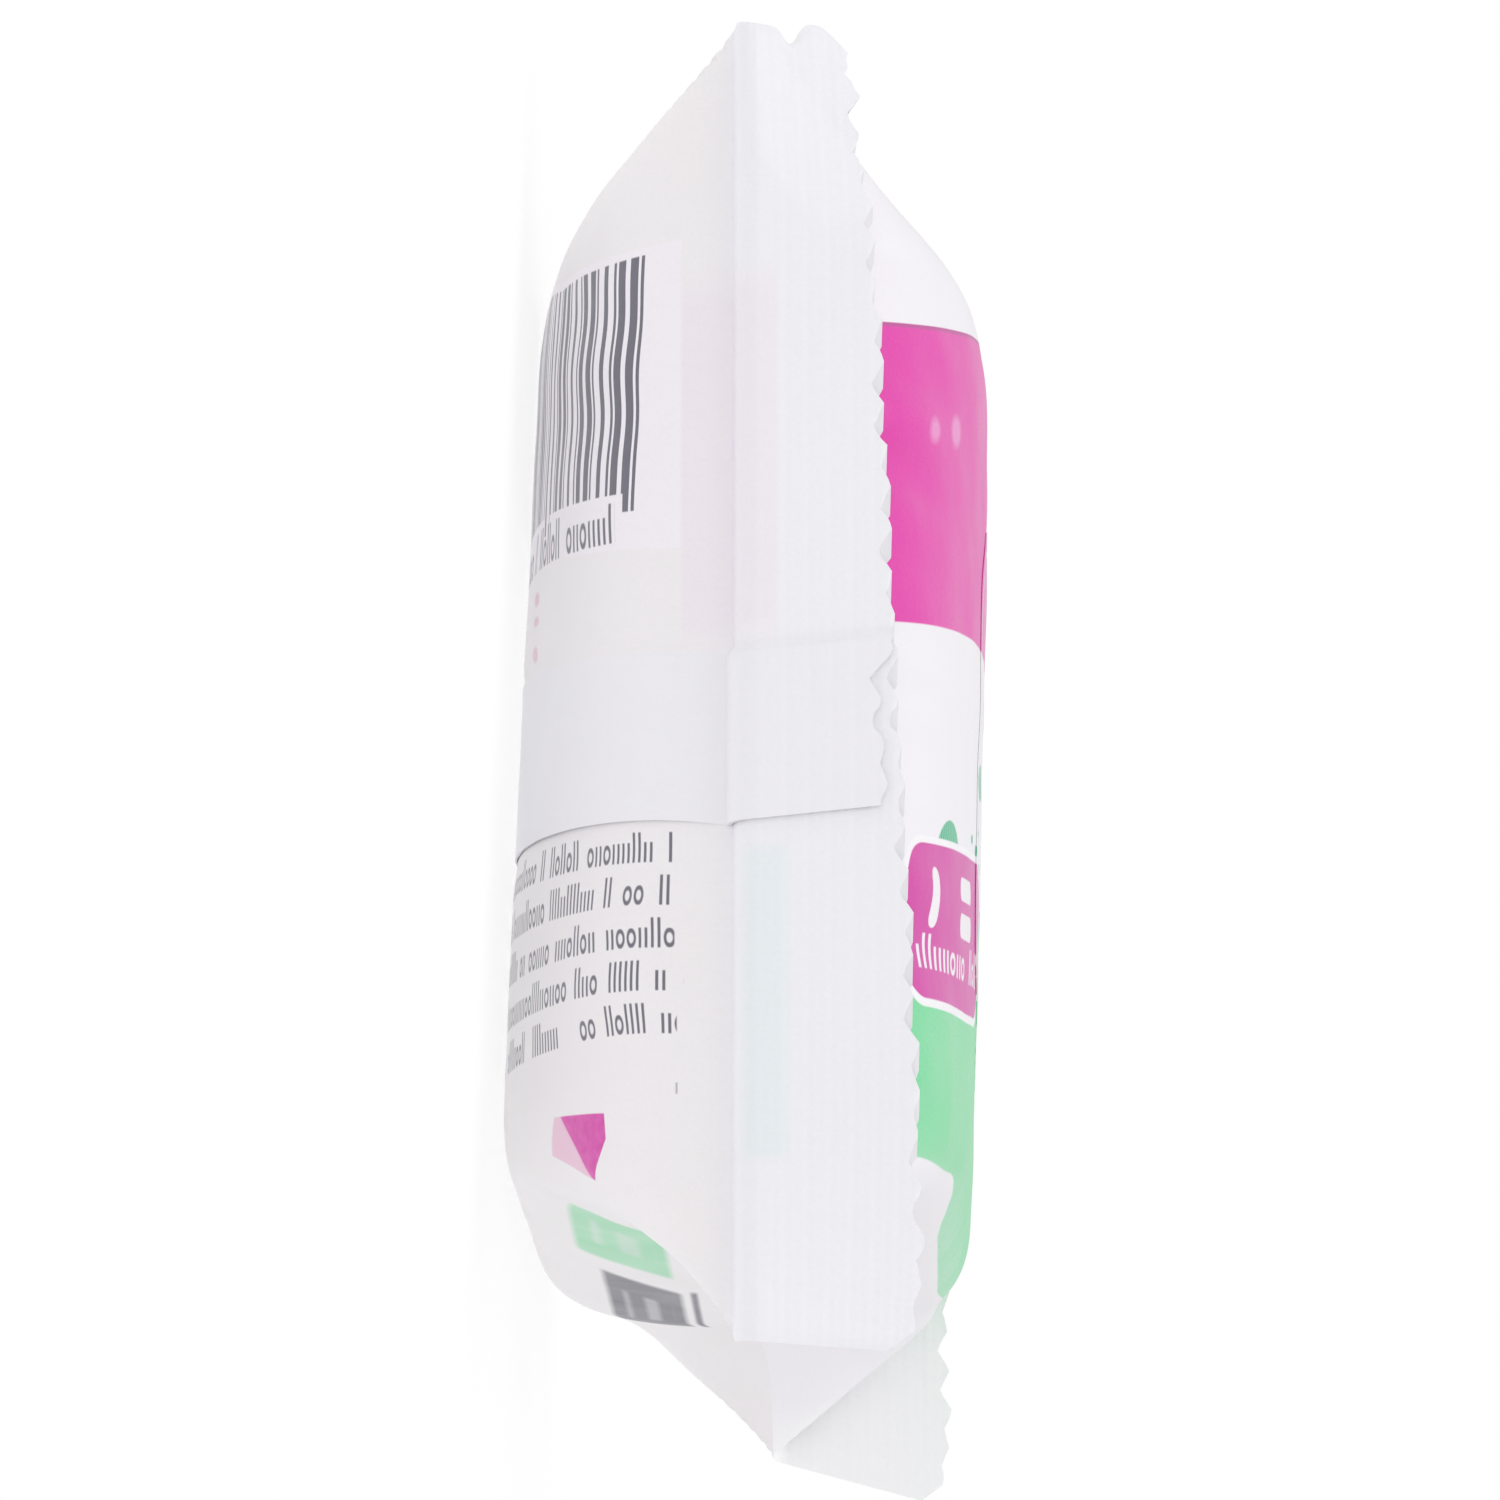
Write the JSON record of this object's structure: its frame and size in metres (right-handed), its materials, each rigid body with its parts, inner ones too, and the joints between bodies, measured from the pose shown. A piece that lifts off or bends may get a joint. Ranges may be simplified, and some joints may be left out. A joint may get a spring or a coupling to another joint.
{
  "type": "wet wipes pack",
  "caption": "Flow-wrapped pillow pack of wet wipes with a fin seal along its back, crimped end seals with a zigzag cut, and a resealable flap on its front.",
  "frame": {"origin": "middle of the pack's bounding box, on the surface that it lies on", "axes": "+X across the pack, the way its back's fin seal is folded; +Y along the pack, away from the end seal that the picture shows; +Z through its thickness, from its back up to its front"},
  "size_m": [0.095, 0.1324, 0.0345],
  "materials": {
    "printed_film": "satin",
    "flap_film": "satin"
  },
  "bodies": {
    "root": {"wipes_pack": "printed_film", "reseal_flap": "flap_film"}
  },
  "joints": []
}
